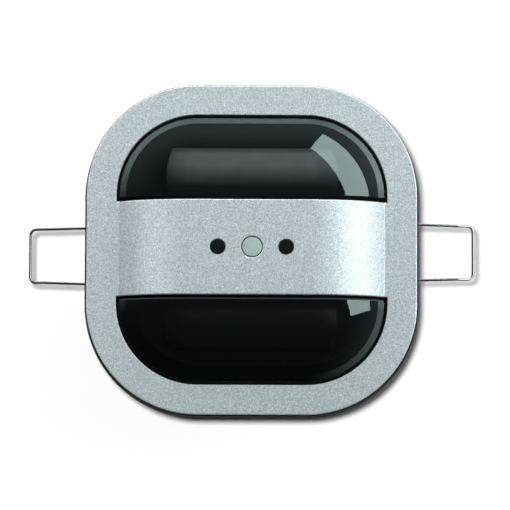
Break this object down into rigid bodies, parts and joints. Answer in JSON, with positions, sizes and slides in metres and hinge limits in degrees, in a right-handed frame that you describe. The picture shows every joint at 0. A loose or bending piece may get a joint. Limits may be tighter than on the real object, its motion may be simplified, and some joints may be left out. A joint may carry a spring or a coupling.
{
  "type": "presence detector",
  "caption": "Flush ceiling presence detector: silver rounded-square frame with an arched bridge over a dark tinted window, round can behind and wire springs at the sides.",
  "frame": {"origin": "centre of the frame's rear face, in the plane of the ceiling", "axes": "+Z out of the ceiling into the room, +X along the two springs, +Y up in the front view"},
  "size_m": [0.149, 0.1112, 0.0649],
  "materials": {
    "silver_lacquer": "fine metallic silver lacquer on moulded plastic",
    "anthracite_plastic": "fine-textured anthracite plastic",
    "tinted_window": "glossy smoke-tinted infrared-clear plastic",
    "key_plastic": "translucent pale plastic",
    "dark_filter": "glossy near-black filter plastic",
    "black_plastic": "black moulded plastic",
    "lens_film": "milky grey lens plastic",
    "nickel_can": "satin metal can",
    "filter_glass": "dark infrared filter",
    "circuit_board": "green circuit board",
    "housing_plastic": "spark-eroded dark grey plastic",
    "red_plastic": "red terminal plastic",
    "grey_plastic": "dark grey terminal plastic",
    "tinned_metal": "zinc-plated steel",
    "spring_wire": "bright drawn spring wire"
  },
  "bodies": {
    "housing": {"cover_frame": "silver_lacquer", "base_frame": "anthracite_plastic", "window_dome": "tinted_window", "light_sensor_eye": "dark_filter", "receiver_eye": "dark_filter", "lens_carrier": "black_plastic", "upper_lens": "lens_film", "lower_lens": "lens_film", "upper_pyro_sensor": "nickel_can", "lower_pyro_sensor": "nickel_can", "pyro_windows": "filter_glass", "sensor_board": "circuit_board", "button_switch": "black_plastic", "status_led": "key_plastic", "photodiode": "black_plastic", "infrared_receiver": "black_plastic", "link_header": "black_plastic", "bus_board": "circuit_board", "bus_chip": "black_plastic", "storage_capacitor": "nickel_can", "bus_choke": "black_plastic", "rear_housing": "housing_plastic", "red_bus_terminal": "red_plastic", "grey_bus_terminal": "grey_plastic", "terminal_pins": "tinned_metal", "left_spring_pin": "tinned_metal", "right_spring_pin": "tinned_metal", "housing_screws": "tinned_metal", "board_screws": "tinned_metal"},
    "button": {"program_button": "key_plastic", "switch_plunger": "key_plastic"},
    "left_arm": {"left_spring": "spring_wire"},
    "right_arm": {"right_spring": "spring_wire"}
  },
  "joints": [
    {"name": "button_press", "type": "slide", "parent": "housing", "child": "button", "axis": [0, 0, -1], "range_m": [0, 0.0005], "stiffness_N_per_m": 1500, "springref_m": -0.0002},
    {"name": "left_spring_fold", "type": "hinge", "parent": "housing", "child": "left_arm", "pos_m": [-0.031, -0.0015, -0.005], "axis": [0, -1, 0], "range_deg": [0, 88], "stiffness_Nm_per_rad": 0.14},
    {"name": "right_spring_fold", "type": "hinge", "parent": "housing", "child": "right_arm", "pos_m": [0.031, 0.0002, -0.005], "axis": [0, 1, 0], "range_deg": [0, 88], "stiffness_Nm_per_rad": 0.14}
  ]
}
